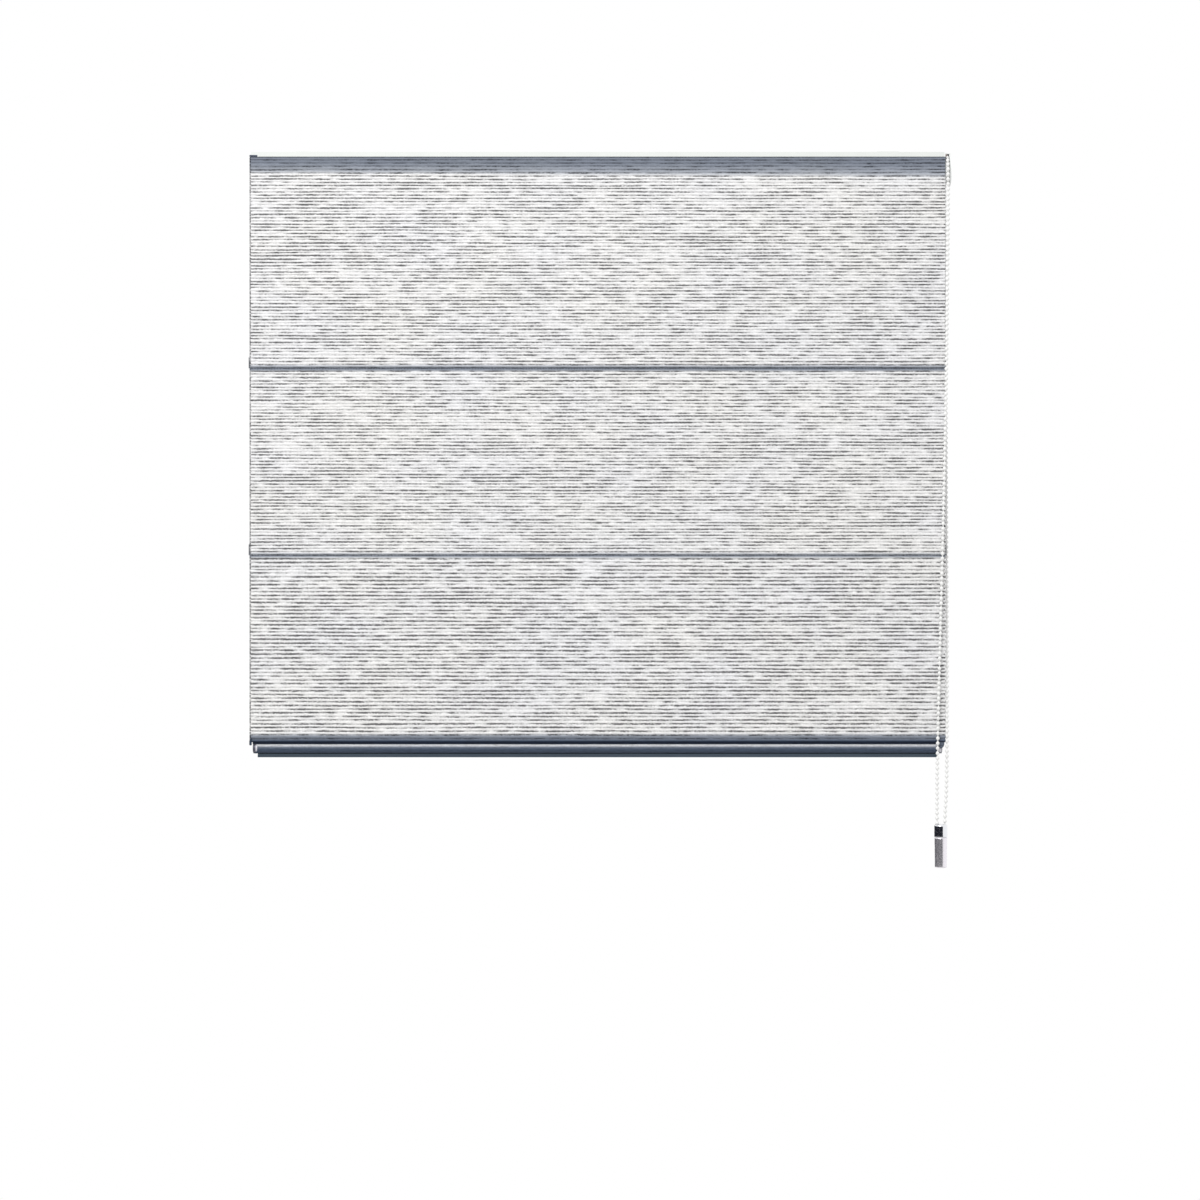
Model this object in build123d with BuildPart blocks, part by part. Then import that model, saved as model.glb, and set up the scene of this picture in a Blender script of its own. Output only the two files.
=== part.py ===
from build123d import *
import os
from math import atan, cos, pi, radians, sin, tan

os.makedirs("parts", exist_ok=True)

# Roman blind with a bead chain control, in millimetres.
# X runs to the right seen from the room, Y towards the wall and Z up.
# The origin is the middle of the wall screws' line, on the brackets' back face.

# Cloth
fabric_width = 837.0
top_panel_length = 254.0
panel_length = 225.0
cloth_base = 1.0
rib_relief = 0.8
rib_pitch_upper = 3.86
rib_pitch_lower = 4.37
edge_gap = 0.3

# Travel of each batten towards the one above it
lift_travel = 205.0
lifted_sections = 3

# Headrail
rail_depth = 32.0
rail_height = 30.0
rail_wall = 1.2
rail_lip = 6.8
nose_height = 5.6
tape_height = 20.0
tape_thickness = 1.0
tape_drop = 1.0
tape_inset = 2.0

# Brackets
bracket_thickness = 1.2
bracket_width = 26.0
bracket_inset = 68.5
bracket_leg = 26.0
bracket_screw_hole = 4.6
bracket_rise = 13.0
hook_width = 10.0
hook_foot = 4.0
hook_clearance = 0.3

# Bead chain and its wheel
bead_diameter = 4.5
bead_pitch = 6.0
chain_cord_diameter = 1.1
wheel_pockets = 18
chain_to_cloth = 0.55
pocket_gap = 0.3
wheel_side_gap = 0.2
rim_set_back = 0.9

# Drive
shaft_side = 5.0
square_fit = 0.05
bearing_fit = 0.08
running_gap = 0.3
bush_radius = 4.7
bush_length = 12.0
wheel_journal_radius = 5.5
wheel_journal_length = 12.0

# Lift cords, drums and cradles
cord_diameter = 1.2
cord_inset = 143.5
cord_guide_gap = 0.5
drum_turns = 18
drum_length = 34.0
drum_rim_radius = 6.3
drum_rim = 3.5
cradle_wall = 2.5
cradle_height = 16.0
cradle_back_gap = 2.0
grommet_side = 3.8
grommet_flange = 6.4
grommet_thickness = 0.8

# Control and end cap
side_wall = 1.5
guard_wall = 1.2
guard_reach = 1.2
roof_reach = 6.0
bead_to_guard = 0.4
spigot_length = 24.0
cap_spigot_length = 14.0
spigot_gap = 0.15
cap_tab_length = 8.0
cap_tab_height = 2.0

# Battens
batten_height = 6.0
batten_thickness = 1.5
batten_slack = 0.1
pocket_cloth = 0.5
tip_height = 13.0
tip_thickness = 1.2
tip_plug = 8.0
eyelet_width = 8.0
eyelet_wall = 1.2

# Hem and bottom bar
hem_inset = 3.5
hem_cloth = 0.9
hem_flange = 9.6
hem_depth = 14.4
hem_height = 13.2
hem_swell = 1.8
hem_drop = 7.3
bar_inset = 6.0
bar_gap = 0.3
bar_neck = 2.8
foot_depth = 9.0
foot_height = 4.0
plug_thickness = 5.0
anchor_width = 10.0
anchor_height = 8.0
anchor_rise = 1.0
anchor_floor = 1.5

# Chain weight
weight_drop = 787.0
weight_inset = 6.0
strand_offset = 4.6
weight_diameter = 15.8
weight_cap_height = 15.7
weight_cap_step = 0.5
weight_bore_depth = 12.0
weight_bore_gap = 0.3
weight_cord_gap = 0.1
weight_body_height = 36.5
weight_shoulder = 0.5

# Where the chain's strands bend on their way down
neck_above_weight = 2.0
straight_below_wheel = 60.0
front_bend_above_hem = 352.0
front_bend_below_hem = 2.0
front_bend_set_in = 0.5
front_bend_out = 0.4
rear_bend_below_hem = 28.0

# Heights, depths and widths that follow from the sizes above
rail_top = bracket_rise - bracket_thickness
rail_bottom = rail_top - rail_height
rail_back = -bracket_thickness
rail_front = rail_back - rail_depth
rail_middle = (rail_front + rail_back) / 2
cloth_back = rail_front - 2 * tape_thickness
cloth_front = cloth_back - cloth_base - rib_relief
cloth_top = rail_top - nose_height - edge_gap
half_width = fabric_width / 2
rail_half = half_width - side_wall
bracket_spacing = fabric_width - 2 * bracket_inset
cord_spacing = fabric_width - 2 * cord_inset
hem_length = fabric_width - 2 * hem_inset
bar_length = hem_length - 2 * bar_inset
weight_x = half_width - weight_inset
seam_1 = cloth_top - top_panel_length
seam_2 = seam_1 - panel_length
hem_line = seam_2 - panel_length

bead_radius = bead_diameter / 2
pitch_radius = wheel_pockets * bead_pitch / (2 * pi)
front_strand_y = cloth_front - chain_to_cloth - bead_radius
shaft_y = front_strand_y + pitch_radius
shaft_z = rail_top - guard_wall - bead_to_guard - bead_radius - pitch_radius
wheel_left = half_width + running_gap
wheel_width = bead_diameter + 2 * wheel_side_gap
wheel_x = wheel_left + wheel_width / 2
cover_left = wheel_left + wheel_width + running_gap

wrap_radius = lifted_sections * lift_travel / (2 * pi * drum_turns)
cord_radius = cord_diameter / 2
cord_y = shaft_y - wrap_radius
cord_places = (-cord_spacing / 2, cord_spacing / 2)
cord_points = [(x, cord_y) for x in cord_places]
square_bore = shaft_side + 2 * square_fit


def along_x(x):
    """The plane across the blind at x, with its own x towards the wall and its own y up."""
    return Plane.YZ.offset(x)


# Headrail: an aluminium channel, open along its top, with a nose that hides the cloth's top edge
with BuildPart() as headrail:
    with BuildSketch(along_x(-rail_half)):
        with Locations((rail_middle, rail_top)):
            Rectangle(rail_depth, rail_height, align=(Align.CENTER, Align.MAX))
        with Locations((rail_middle, rail_top - rail_wall)):
            Rectangle(
                rail_depth - 2 * rail_wall,
                rail_height - 2 * rail_wall,
                align=(Align.CENTER, Align.MAX),
                mode=Mode.SUBTRACT,
            )
        with Locations((rail_middle, rail_top)):
            Rectangle(
                rail_depth - 2 * rail_wall - 2 * rail_lip,
                rail_wall,
                align=(Align.CENTER, Align.MAX),
                mode=Mode.SUBTRACT,
            )
        with Locations((cloth_front, rail_top)):
            Rectangle(rail_front - cloth_front, rail_wall, align=(Align.MIN, Align.MAX))
            Rectangle(rail_wall, nose_height, align=(Align.MIN, Align.MAX))
    extrude(amount=2 * rail_half)
    with BuildSketch(Plane.XY.offset(rail_bottom)):
        with Locations(*cord_points):
            Rectangle(grommet_side + 2 * square_fit, grommet_side + 2 * square_fit)
    extrude(amount=rail_wall, mode=Mode.SUBTRACT)
    with BuildSketch(Plane.XZ.offset(-cloth_front)):
        with Locations((-rail_half, rail_top - nose_height)):
            Rectangle(cap_tab_length, cap_tab_height, align=Align.MIN)
    extrude(amount=-rail_wall, mode=Mode.SUBTRACT)
headrail.part.label = "headrail"
export_step(headrail.part, "parts/headrail.step")

# Brackets: bent steel plates screwed back to the wall, with two hooks in the rail's open top
hook_place = rail_depth / 2 - rail_wall - rail_lip - hook_clearance
for side, sign in (("left", -1), ("right", 1)):
    centre = sign * bracket_spacing / 2
    with BuildPart() as bracket:
        with BuildSketch(along_x(centre)):
            with Locations((0, bracket_rise)):
                Rectangle(rail_depth + bracket_thickness, bracket_thickness, align=Align.MAX)
                Rectangle(bracket_thickness, bracket_leg, align=Align.MAX)
        extrude(amount=bracket_width / 2, both=True)
        with BuildSketch(along_x(centre)):
            with Locations((rail_middle - hook_place, rail_top)):
                Rectangle(
                    bracket_thickness,
                    rail_wall + hook_clearance + bracket_thickness,
                    align=(Align.MIN, Align.MAX),
                )
            with Locations((rail_middle - hook_place, rail_top - rail_wall - hook_clearance)):
                Rectangle(hook_foot, bracket_thickness, align=Align.MAX)
            with Locations((rail_middle + hook_place, rail_top)):
                Rectangle(
                    bracket_thickness,
                    rail_wall + hook_clearance + bracket_thickness,
                    align=(Align.MAX, Align.MAX),
                )
            with Locations((rail_middle + hook_place, rail_top - rail_wall - hook_clearance)):
                Rectangle(hook_foot, bracket_thickness, align=(Align.MIN, Align.MAX))
        extrude(amount=hook_width / 2, both=True)
        with BuildSketch(Plane.XZ):
            with Locations((centre, 0)):
                Circle(bracket_screw_hole / 2)
        extrude(amount=bracket_thickness, mode=Mode.SUBTRACT)
    bracket.part.label = f"bracket_{side}"
    export_step(bracket.part, f"parts/bracket_{side}.step")

# Hook strip on the rail and loop strip on the cloth
for strip, back in (("hook_strip", rail_front), ("loop_strip", rail_front - tape_thickness)):
    with BuildPart() as tape:
        with BuildSketch(Plane.XZ.offset(-back)):
            with Locations((0, cloth_top - tape_drop)):
                Rectangle(
                    2 * rail_half - 2 * tape_inset, tape_height, align=(Align.CENTER, Align.MAX)
                )
        extrude(amount=tape_thickness)
    tape.part.label = strip
    export_step(tape.part, f"parts/{strip}.step")

# End cap: a moulded plug in the rail's left end, with the shaft's bearing and a tab under the nose
with BuildPart() as end_cap:
    with BuildSketch(along_x(-rail_half)):
        with Locations((rail_middle, rail_top)):
            Rectangle(rail_depth, rail_height, align=(Align.CENTER, Align.MAX))
        with Locations((cloth_front, rail_top)):
            Rectangle(rail_front - cloth_front, nose_height, align=(Align.MIN, Align.MAX))
    extrude(amount=-side_wall)
    with BuildSketch(along_x(-rail_half)):
        with Locations((rail_middle, rail_top - rail_wall - spigot_gap)):
            Rectangle(
                rail_depth - 2 * rail_wall - 2 * spigot_gap,
                rail_height - 2 * rail_wall - 2 * spigot_gap,
                align=(Align.CENTER, Align.MAX),
            )
        with Locations((shaft_y, shaft_z)):
            Circle(bush_radius + bearing_fit, mode=Mode.SUBTRACT)
    extrude(amount=cap_spigot_length)
    with BuildSketch(Plane.XZ.offset(-cloth_front)):
        with Locations((-rail_half, rail_top - nose_height)):
            Rectangle(cap_tab_length, cap_tab_height, align=Align.MIN)
    extrude(amount=-rail_wall)
end_cap.part.label = "end_cap"
export_step(end_cap.part, "parts/end_cap.step")

# Control base: closes the rail's right end, carries the wheel, and guards the chain above and behind
with BuildPart() as control_base:
    with BuildSketch(along_x(rail_half)):
        with Locations((rail_middle, rail_top)):
            Rectangle(rail_depth, rail_height, align=(Align.CENTER, Align.MAX))
        with Locations((cloth_front, rail_top)):
            Rectangle(rail_front - cloth_front, nose_height, align=(Align.MIN, Align.MAX))
    extrude(amount=side_wall)
    with BuildSketch(along_x(rail_half)):
        with Locations((rail_middle, rail_top - rail_wall - spigot_gap)):
            Rectangle(
                rail_depth - 2 * rail_wall - 2 * spigot_gap,
                rail_height - 2 * rail_wall - 2 * spigot_gap,
                align=(Align.CENTER, Align.MAX),
            )
    extrude(amount=-spigot_length)
    with BuildSketch(along_x(half_width)):
        with Locations((rail_back, rail_top)):
            Rectangle(guard_wall, rail_height, align=Align.MAX)
            Rectangle(rail_back - shaft_y + roof_reach, guard_wall, align=Align.MAX)
    extrude(amount=cover_left - half_width)
    with BuildSketch(along_x(rail_half - spigot_length)):
        with Locations((shaft_y, shaft_z)):
            Circle(wheel_journal_radius + bearing_fit)
    extrude(amount=spigot_length + side_wall, mode=Mode.SUBTRACT)
control_base.part.label = "control_base"
export_step(control_base.part, "parts/control_base.step")

# Control cover: the outer cheek of the chain guard
with BuildPart() as control_cover:
    with BuildSketch(along_x(cover_left)):
        with Locations((rail_back, rail_top)):
            Rectangle(rail_back - shaft_y + roof_reach, rail_height, align=Align.MAX)
        with Locations((shaft_y, shaft_z)):
            Circle(pitch_radius + guard_reach)
    extrude(amount=side_wall)
control_cover.part.label = "control_cover"
export_step(control_cover.part, "parts/control_cover.step")

# Chain wheel: a moulded disc with a pocket for each bead round its rim, on a bearing journal
with BuildPart() as chain_wheel:
    with BuildSketch(along_x(wheel_left)):
        with Locations((shaft_y, shaft_z)):
            Circle(pitch_radius - rim_set_back)
            with PolarLocations(pitch_radius, wheel_pockets):
                RegularPolygon(
                    bead_radius + pocket_gap,
                    8,
                    major_radius=False,
                    rotation=22.5,
                    mode=Mode.SUBTRACT,
                )
    extrude(amount=wheel_width)
    with BuildSketch(along_x(wheel_left)):
        with Locations((shaft_y, shaft_z)):
            Circle(wheel_journal_radius)
    extrude(amount=-wheel_journal_length)
    with BuildSketch(along_x(wheel_left - wheel_journal_length)):
        with Locations((shaft_y, shaft_z)):
            Rectangle(square_bore, square_bore)
    extrude(amount=wheel_journal_length + wheel_width, mode=Mode.SUBTRACT)
chain_wheel.part.label = "chain_wheel"
export_step(chain_wheel.part, "parts/chain_wheel.step")

# Drive shaft: a square steel rod from the left bearing to the chain wheel
shaft_start = running_gap - rail_half
with BuildPart() as drive_shaft:
    with BuildSketch(along_x(shaft_start)):
        with Locations((shaft_y, shaft_z)):
            Rectangle(shaft_side, shaft_side)
    extrude(amount=wheel_left + wheel_width - shaft_start)
drive_shaft.part.label = "drive_shaft"
export_step(drive_shaft.part, "parts/drive_shaft.step")

# Shaft bush: turns with the shaft inside the end cap
with BuildPart() as shaft_bush:
    with BuildSketch(along_x(shaft_start)):
        with Locations((shaft_y, shaft_z)):
            Circle(bush_radius)
            Rectangle(square_bore, square_bore, mode=Mode.SUBTRACT)
    extrude(amount=bush_length)
shaft_bush.part.label = "shaft_bush"
export_step(shaft_bush.part, "parts/shaft_bush.step")

# Cord drums: an eight-sided core between two rims that turn in the cradles' seats
drum_start = -drum_rim - cord_diameter
with BuildPart() as cord_drums:
    for cord_x in cord_places:
        with BuildSketch(along_x(cord_x + drum_start)):
            with Locations((shaft_y, shaft_z)):
                RegularPolygon(wrap_radius - cord_radius - running_gap, 8)
        extrude(amount=drum_length)
        for rim_start in (drum_start, drum_start + drum_length - drum_rim):
            with BuildSketch(along_x(cord_x + rim_start)):
                with Locations((shaft_y, shaft_z)):
                    Circle(drum_rim_radius)
            extrude(amount=drum_rim)
        with BuildSketch(along_x(cord_x + drum_start)):
            with Locations((shaft_y, shaft_z)):
                Rectangle(square_bore, square_bore)
        extrude(amount=drum_length, mode=Mode.SUBTRACT)
cord_drums.part.label = "cord_drums"
export_step(cord_drums.part, "parts/cord_drums.step")

# Drum cradles: two walls with a seat for each rim, joined by a back wall, on the rail's floor
rail_floor = rail_bottom + rail_wall
seat_radius = drum_rim_radius + bearing_fit
cradle_span = (drum_length - drum_rim - cradle_wall) / 2
for number, cord_x in enumerate(cord_places, 1):
    drum_middle = cord_x + drum_start + drum_length / 2
    with BuildPart() as cradle:
        with BuildSketch(along_x(drum_middle)):
            with Locations((rail_middle, rail_floor)):
                Rectangle(
                    rail_depth - 2 * rail_wall - 2 * running_gap,
                    cradle_height,
                    align=(Align.CENTER, Align.MIN),
                )
        extrude(amount=cradle_span + cradle_wall, both=True)
        with BuildSketch(along_x(drum_middle)):
            with Locations((shaft_y + drum_rim_radius + cradle_back_gap, rail_floor)):
                Rectangle(rail_depth, cradle_height, align=(Align.MAX, Align.MIN))
            with Locations((shaft_y + drum_rim_radius + cradle_back_gap + cradle_wall, rail_floor)):
                Rectangle(rail_depth, cradle_height, align=Align.MIN)
        extrude(amount=cradle_span, both=True, mode=Mode.SUBTRACT)
        with BuildSketch(along_x(drum_middle)):
            with Locations((shaft_y, shaft_z)):
                Circle(seat_radius)
                Rectangle(2 * seat_radius, cradle_height, align=(Align.CENTER, Align.MIN))
        extrude(amount=cradle_span + cradle_wall, both=True, mode=Mode.SUBTRACT)
    cradle.part.label = f"drum_cradle_{number}"
    export_step(cradle.part, f"parts/drum_cradle_{number}.step")

# Cord grommets: lined holes where the lift cords leave the rail
with BuildPart() as cord_grommets:
    with BuildSketch(Plane.XY.offset(rail_bottom)):
        with Locations(*cord_points):
            Rectangle(grommet_flange, grommet_flange)
    extrude(amount=-grommet_thickness)
    with BuildSketch(Plane.XY.offset(rail_bottom)):
        with Locations(*cord_points):
            Rectangle(grommet_side, grommet_side)
    extrude(amount=rail_wall)
    with BuildSketch(Plane.XY.offset(rail_bottom - grommet_thickness)):
        with Locations(*cord_points):
            RegularPolygon(cord_radius + cord_guide_gap, 8)
    extrude(amount=rail_wall + grommet_thickness, mode=Mode.SUBTRACT)
cord_grommets.part.label = "cord_grommets"
export_step(cord_grommets.part, "parts/cord_grommets.step")

# Cloth: three flat sections, each a base with raised weft ribs across its whole width
sections = (
    ("fabric_top", cloth_top, top_panel_length - edge_gap, rib_pitch_upper),
    ("fabric_middle", seam_1, panel_length - edge_gap, rib_pitch_upper),
    ("fabric_bottom", seam_2, panel_length, rib_pitch_lower),
)
for section, top, length, target_pitch in sections:
    ribs = round(length / target_pitch)
    pitch = length / ribs
    with BuildPart() as panel:
        with BuildSketch(along_x(-half_width)):
            with Locations((cloth_back, top)):
                Rectangle(cloth_base, length, align=Align.MAX)
            with Locations((cloth_back - cloth_base, top - length / 2)):
                with GridLocations(0, pitch, 1, ribs):
                    Polygon((0, pitch / 2), (-rib_relief, 0), (0, -pitch / 2), align=None)
        extrude(amount=fabric_width)
    panel.part.label = section
    export_step(panel.part, f"parts/{section}.step")

# Battens: a flat bar in a sewn pocket behind each seam, closed by a tip at each end
pocket_front = cloth_back + edge_gap
pocket_depth = batten_thickness + 2 * batten_slack + 2 * pocket_cloth
pocket_height = batten_height + 2 * batten_slack + 2 * pocket_cloth
pocket_middle = pocket_front + pocket_depth / 2
eyelet_depth = cord_y + cord_radius + cord_guide_gap + eyelet_wall - pocket_front - pocket_depth
for number, seam in ((1, seam_1), (2, seam_2)):
    with BuildPart() as pocket:
        with BuildSketch(along_x(-half_width)):
            with Locations((pocket_middle, seam + pocket_height / 2)):
                Rectangle(pocket_depth, pocket_height)
                Rectangle(
                    batten_thickness + 2 * batten_slack,
                    batten_height + 2 * batten_slack,
                    mode=Mode.SUBTRACT,
                )
        extrude(amount=fabric_width)
    pocket.part.label = f"batten_pocket_{number}"
    export_step(pocket.part, f"parts/batten_pocket_{number}.step")

    with BuildPart() as batten_bar:
        with BuildSketch(along_x(-half_width + tip_plug)):
            with Locations((pocket_middle, seam + pocket_height / 2)):
                Rectangle(batten_thickness, batten_height)
        extrude(amount=fabric_width - 2 * tip_plug)
    batten_bar.part.label = f"batten_bar_{number}"
    export_step(batten_bar.part, f"parts/batten_bar_{number}.step")

    with BuildPart() as batten_tips:
        for sign in (-1, 1):
            with BuildSketch(along_x(sign * half_width)):
                with Locations((pocket_middle, seam)):
                    Rectangle(pocket_depth, tip_height, align=(Align.CENTER, Align.MIN))
            extrude(amount=sign * tip_thickness)
            with BuildSketch(along_x(sign * half_width)):
                with Locations((pocket_middle, seam + pocket_height / 2)):
                    Rectangle(batten_thickness, batten_height)
            extrude(amount=-sign * tip_plug)
    batten_tips.part.label = f"batten_tips_{number}"
    export_step(batten_tips.part, f"parts/batten_tips_{number}.step")

    with BuildPart() as cord_eyelets:
        with BuildSketch(Plane.XY.offset(seam)):
            with Locations(*[(x, pocket_front + pocket_depth) for x in cord_places]):
                Rectangle(eyelet_width, eyelet_depth, align=(Align.CENTER, Align.MIN))
            with Locations(*cord_points):
                RegularPolygon(cord_radius + cord_guide_gap, 8, mode=Mode.SUBTRACT)
        extrude(amount=pocket_height)
    cord_eyelets.part.label = f"cord_eyelets_{number}"
    export_step(cord_eyelets.part, f"parts/cord_eyelets_{number}.step")

# Bottom hem: the cloth's end, sewn to the back of the last panel and rolled round the bottom bar
hem_y = pocket_front - hem_swell + hem_depth / 2
hem_z = hem_line - hem_drop
with BuildPart() as bottom_hem:
    with BuildSketch(along_x(-hem_length / 2)):
        with Locations((pocket_front, hem_line + hem_flange)):
            Rectangle(hem_cloth, hem_flange + hem_drop, align=(Align.MIN, Align.MAX))
        with Locations((hem_y, hem_z)):
            Ellipse(hem_depth / 2, hem_height / 2)
            Ellipse(hem_depth / 2 - hem_cloth, hem_height / 2 - hem_cloth, mode=Mode.SUBTRACT)
            Rectangle(
                bar_neck + 2 * bar_gap,
                hem_height,
                align=(Align.CENTER, Align.MAX),
                mode=Mode.SUBTRACT,
            )
    extrude(amount=hem_length)
bottom_hem.part.label = "bottom_hem"
export_step(bottom_hem.part, "parts/bottom_hem.step")

# Bottom bar: an aluminium extrusion, its oval core in the hem and its foot showing below
core_depth = hem_depth / 2 - hem_cloth - bar_gap
core_height = hem_height / 2 - hem_cloth - bar_gap
foot_top = hem_z - hem_height / 2 - bar_gap
with BuildPart() as bottom_bar:
    with BuildSketch(along_x(-bar_length / 2)):
        with Locations((hem_y, hem_z)):
            Ellipse(core_depth, core_height)
            Rectangle(bar_neck, hem_z - foot_top, align=(Align.CENTER, Align.MAX))
        with Locations((hem_y, foot_top)):
            Rectangle(foot_depth, foot_height, align=(Align.CENTER, Align.MAX))
    extrude(amount=bar_length)
bottom_bar.part.label = "bottom_bar"
export_step(bottom_bar.part, "parts/bottom_bar.step")

# Bar plugs: oval plates glued on the core's ends, just inside the rolled hem
with BuildPart() as bar_plugs:
    for sign in (-1, 1):
        with BuildSketch(along_x(sign * bar_length / 2)):
            with Locations((hem_y, hem_z)):
                Ellipse(core_depth, core_height)
        extrude(amount=sign * plug_thickness)
bar_plugs.part.label = "bar_plugs"
export_step(bar_plugs.part, "parts/bar_plugs.step")

# Cord anchors: blocks behind the hem that hold the lift cords' lower ends
anchor_front = pocket_front + hem_cloth
anchor_base = hem_line + anchor_rise
with BuildPart() as cord_anchors:
    with BuildSketch(Plane.XY.offset(anchor_base)):
        with Locations(*[(x, anchor_front) for x in cord_places]):
            Rectangle(
                anchor_width,
                cord_y + cord_radius + cord_guide_gap + eyelet_wall - anchor_front,
                align=(Align.CENTER, Align.MIN),
            )
    extrude(amount=anchor_height)
    with BuildSketch(Plane.XY.offset(anchor_base + anchor_floor)):
        with Locations(*cord_points):
            RegularPolygon(cord_radius + cord_guide_gap, 8)
    extrude(amount=anchor_height - anchor_floor, mode=Mode.SUBTRACT)
cord_anchors.part.label = "cord_anchors"
export_step(cord_anchors.part, "parts/cord_anchors.step")

# Lift cords: from a quarter turn round the drum, down through grommet and eyelets, into the anchor
cord_end = anchor_base + anchor_floor + edge_gap
with BuildPart() as lift_cords:
    with BuildSketch(Plane.XY.offset(shaft_z)):
        with Locations(*cord_points):
            RegularPolygon(cord_radius, 4)
    extrude(amount=cord_end - shaft_z)
    with BuildSketch(Plane.XY.offset(shaft_z)):
        with Locations(*cord_points):
            RegularPolygon(cord_radius, 4)
    revolve(axis=Axis((0, shaft_y, shaft_z), (-1, 0, 0)), revolution_arc=90)
lift_cords.part.label = "lift_cords"
export_step(lift_cords.part, "parts/lift_cords.step")

# Bead chain: one cord from the weight, up in front, over the wheel and down behind to the weight
weight_top = shaft_z - weight_drop
cord_foot = weight_top - weight_bore_depth + weight_cord_gap
chain_neck = weight_top + neck_above_weight
rear_lean = 2 * atan(pitch_radius / (shaft_z - chain_neck))


def rear_strand(x, z):
    """The point of the rear strand at height z, on the line from the wheel to the weight."""
    return (x, front_strand_y + (z - chain_neck) * tan(rear_lean), z)


front_x = weight_x - strand_offset
rear_x = weight_x + strand_offset
front_route = (
    (front_x, front_strand_y, cord_foot),
    (front_x, front_strand_y, chain_neck),
    (front_x + front_bend_out, front_strand_y, hem_line - front_bend_below_hem),
    (half_width - front_bend_set_in, front_strand_y, hem_line + front_bend_above_hem),
    (wheel_x, front_strand_y, shaft_z - straight_below_wheel),
    (wheel_x, front_strand_y, shaft_z),
)
over_wheel = (wheel_x, shaft_y, shaft_z + pitch_radius)
leave_wheel = (
    wheel_x,
    shaft_y + pitch_radius * cos(rear_lean),
    shaft_z - pitch_radius * sin(rear_lean),
)
rear_route = (
    leave_wheel,
    rear_strand(wheel_x, hem_line - rear_bend_below_hem),
    rear_strand(rear_x, chain_neck),
    (rear_x, front_strand_y, cord_foot),
)


def gentle_radii(route):
    """The largest arc that the two runs at each corner of a route allow."""
    points = [Vector(*p) for p in route]
    radii = []
    for before, corner, after in zip(points, points[1:], points[2:]):
        turn = radians((corner - before).get_angle(after - corner))
        shorter = min((corner - before).length, (after - corner).length)
        radii.append(0.45 * shorter / tan(turn / 2))
    return radii


for route in (front_route, rear_route):
    print("chain cord radii:", [round(r) for r in gentle_radii(route)])

with BuildLine() as chain_route:
    front_line = FilletPolyline(*front_route, radius=gentle_radii(front_route))
    ThreePointArc(front_route[-1], over_wheel, leave_wheel)
    FilletPolyline(*rear_route, radius=gentle_radii(rear_route))
chain_path = chain_route.wires()[0]
with BuildPart() as chain_cord:
    with BuildSketch(Plane(origin=front_route[0], z_dir=chain_path % 0)):
        RegularPolygon(chain_cord_diameter / 2, 4)
    sweep(path=chain_path)
chain_cord.part.label = "chain_cord"
export_step(chain_cord.part, "parts/chain_cord.step")
print("chain cord length:", round(chain_path.length, 1))

# Beads: moulded on the cord at an even pitch, and seated in the wheel's pockets where they pass it
with BuildPart() as bead:
    with BuildSketch():
        RegularPolygon(bead_radius, 5)
    loft([Vertex(0, 0, -bead_radius), bead.pending_faces[0], Vertex(0, 0, bead_radius)], ruled=True)
beads_before = int((front_line.length - bead_radius) / bead_pitch)
beads_after = int((chain_path.length - front_line.length - bead_radius) / bead_pitch)
bead_places = [
    chain_path.location_at(front_line.length + n * bead_pitch, PositionMode.LENGTH)
    for n in range(-beads_before, beads_after + 1)
]
with BuildPart() as chain_beads:
    with Locations(*bead_places):
        add(bead.part)
chain_beads.part.label = "chain_beads"
export_step(chain_beads.part, "parts/chain_beads.step")
print("beads:", len(bead_places))

# Chain weight: a chromed cap that holds the chain's ends in two bores, and a satin metal body
weight_radius = weight_diameter / 2
with BuildPart() as weight_cap:
    with BuildSketch(Plane.XY.offset(weight_top)):
        with Locations((weight_x, front_strand_y)):
            Circle(weight_radius - weight_cap_step)
    extrude(amount=-weight_cap_step)
    with BuildSketch(Plane.XY.offset(weight_top - weight_cap_step)):
        with Locations((weight_x, front_strand_y)):
            Circle(weight_radius)
    extrude(amount=weight_cap_step - weight_cap_height)
    with Locations((weight_x, front_strand_y, weight_top)):
        with GridLocations(2 * strand_offset, 0, 2, 1):
            Hole(bead_radius + weight_bore_gap, depth=weight_bore_depth)
weight_cap.part.label = "weight_cap"
export_step(weight_cap.part, "parts/weight_cap.step")

with BuildPart() as weight_body:
    with BuildSketch(Plane.XY.offset(weight_top - weight_cap_height)):
        with Locations((weight_x, front_strand_y)):
            Circle(weight_radius - weight_shoulder)
    extrude(amount=-weight_body_height)
weight_body.part.label = "weight_body"
export_step(weight_body.part, "parts/weight_body.step")
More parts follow.
